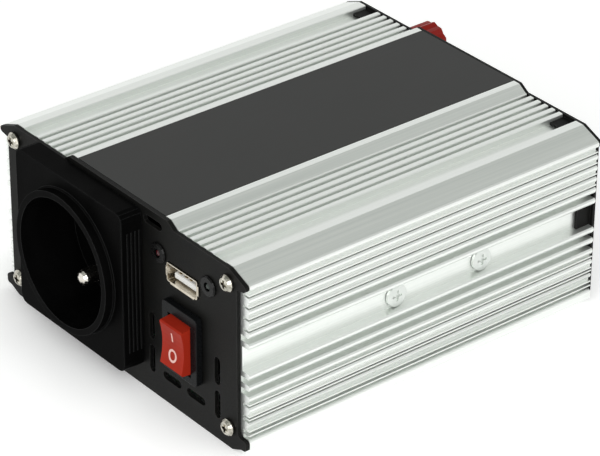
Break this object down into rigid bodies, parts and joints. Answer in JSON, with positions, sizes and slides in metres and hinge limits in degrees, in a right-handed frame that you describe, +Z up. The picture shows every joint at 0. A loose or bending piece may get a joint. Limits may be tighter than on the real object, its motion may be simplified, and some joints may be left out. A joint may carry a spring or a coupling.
{
  "type": "power inverter",
  "caption": "Portable power inverter with a ribbed aluminium case, black end panels, a round mains socket, a charging port, a rocker switch, a cooling fan and knob terminals.",
  "frame": {"origin": "centre of the case's flat underside", "axes": "+Z up, -Y out of the front panel with the socket and switch, +X to the right as seen from the front"},
  "size_m": [0.1106, 0.1508, 0.0571],
  "materials": {
    "case_aluminium": "satin anodised",
    "panel_paint": "satin black",
    "label_film": "satin charcoal film",
    "panel_screw_nickel": "nickel plated",
    "clamp_screw_nickel": "nickel plated",
    "socket_plastic": "satin black",
    "earth_pin_nickel": "nickel plated",
    "contact_brass": "bright",
    "usb_nickel": "nickel plated",
    "tongue_white": "white",
    "board_laminate": "green solder mask",
    "lamp_bezel_plastic": "black",
    "power_lens": "clear green",
    "fault_lens": "clear red",
    "switch_plastic": "black",
    "rocker_plastic": "red",
    "terminal_red": "red",
    "terminal_black": "black",
    "stud_brass": "bright",
    "washer_nickel": "nickel plated",
    "fan_plastic": "black",
    "stator_copper": "enamelled copper",
    "core_ferrite": "matt ferrite",
    "winding_tape": "yellow tape",
    "capacitor_sleeve": "black sleeve",
    "package_epoxy": "black epoxy",
    "clamp_steel": "plain"
  },
  "bodies": {
    "case": {"bus_capacitor": "capacitor_sleeve", "case_extrusion": "case_aluminium", "clamp_bar_left": "clamp_steel", "clamp_bar_right": "clamp_steel", "clamp_screw_left_front": "clamp_screw_nickel", "clamp_screw_left_rear": "clamp_screw_nickel", "clamp_screw_right_front": "clamp_screw_nickel", "clamp_screw_right_rear": "clamp_screw_nickel", "fan_frame": "fan_plastic", "fan_screw_lower": "panel_screw_nickel", "fan_screw_upper": "panel_screw_nickel", "fan_stator": "stator_copper", "fault_led": "fault_lens", "fault_led_bezel": "lamp_bezel_plastic", "front_panel": "panel_paint", "front_panel_screw_lower_left": "panel_screw_nickel", "front_panel_screw_lower_right": "panel_screw_nickel", "front_panel_screw_upper_left": "panel_screw_nickel", "front_panel_screw_upper_right": "panel_screw_nickel", "input_capacitor": "capacitor_sleeve", "main_board": "board_laminate", "negative_insulator": "terminal_black", "negative_lead": "terminal_black", "negative_nut": "washer_nickel", "negative_stud": "stud_brass", "output_choke": "stator_copper", "positive_insulator": "terminal_red", "positive_lead": "terminal_red", "positive_nut": "washer_nickel", "positive_stud": "stud_brass", "power_led": "power_lens", "power_led_bezel": "lamp_bezel_plastic", "rear_panel": "panel_paint", "rear_panel_screw_lower_left": "panel_screw_nickel", "rear_panel_screw_lower_right": "panel_screw_nickel", "rear_panel_screw_upper_left": "panel_screw_nickel", "rear_panel_screw_upper_right": "panel_screw_nickel", "socket_contact_left": "contact_brass", "socket_contact_right": "contact_brass", "socket_earth_pin": "earth_pin_nickel", "socket_housing": "socket_plastic", "switch_housing": "switch_plastic", "switch_terminal_lower": "contact_brass", "switch_terminal_upper": "contact_brass", "top_label": "label_film", "transformer_core": "core_ferrite", "transformer_winding": "winding_tape", "transistor_left_front": "package_epoxy", "transistor_left_rear": "package_epoxy", "transistor_right_front": "package_epoxy", "transistor_right_rear": "package_epoxy", "usb_board": "board_laminate", "usb_shell": "usb_nickel", "usb_tongue": "tongue_white"},
    "switch_rocker": {"switch_rocker": "rocker_plastic"},
    "fan_rotor": {"fan_rotor": "fan_plastic"},
    "positive_washer": {"positive_washer": "washer_nickel"},
    "positive_knob": {"positive_knob": "terminal_red"},
    "negative_washer": {"negative_washer": "washer_nickel"},
    "negative_knob": {"negative_knob": "terminal_black"}
  },
  "joints": [
    {"name": "switch_rocker_tilt", "type": "hinge", "parent": "case", "child": "switch_rocker", "pos_m": [0.0295, -0.0611, 0.02345], "axis": [1, 0, 0], "range_deg": [-10, 10]},
    {"name": "fan_spin", "type": "hinge", "parent": "case", "child": "fan_rotor", "pos_m": [0.022, 0.0562, 0.0269], "axis": [0, 1, 0], "continuous": true},
    {"name": "positive_washer_travel", "type": "slide", "parent": "case", "child": "positive_washer", "axis": [0, 1, 0], "range_m": [0, 0.004]},
    {"name": "positive_knob_turn", "type": "hinge", "parent": "positive_washer", "child": "positive_knob", "pos_m": [-0.0333, 0.073, 0.043], "axis": [0, 1, 0], "range_deg": [0, 1800]},
    {"name": "negative_washer_travel", "type": "slide", "parent": "case", "child": "negative_washer", "axis": [0, 1, 0], "range_m": [0, 0.004]},
    {"name": "negative_knob_turn", "type": "hinge", "parent": "negative_washer", "child": "negative_knob", "pos_m": [-0.0333, 0.073, 0.02], "axis": [0, 1, 0], "range_deg": [0, 1800]}
  ],
  "couplings": [
    {"joint": "positive_knob_turn", "follows": "positive_washer_travel", "rad_per_m": 7854},
    {"joint": "negative_knob_turn", "follows": "negative_washer_travel", "rad_per_m": 7854}
  ]
}
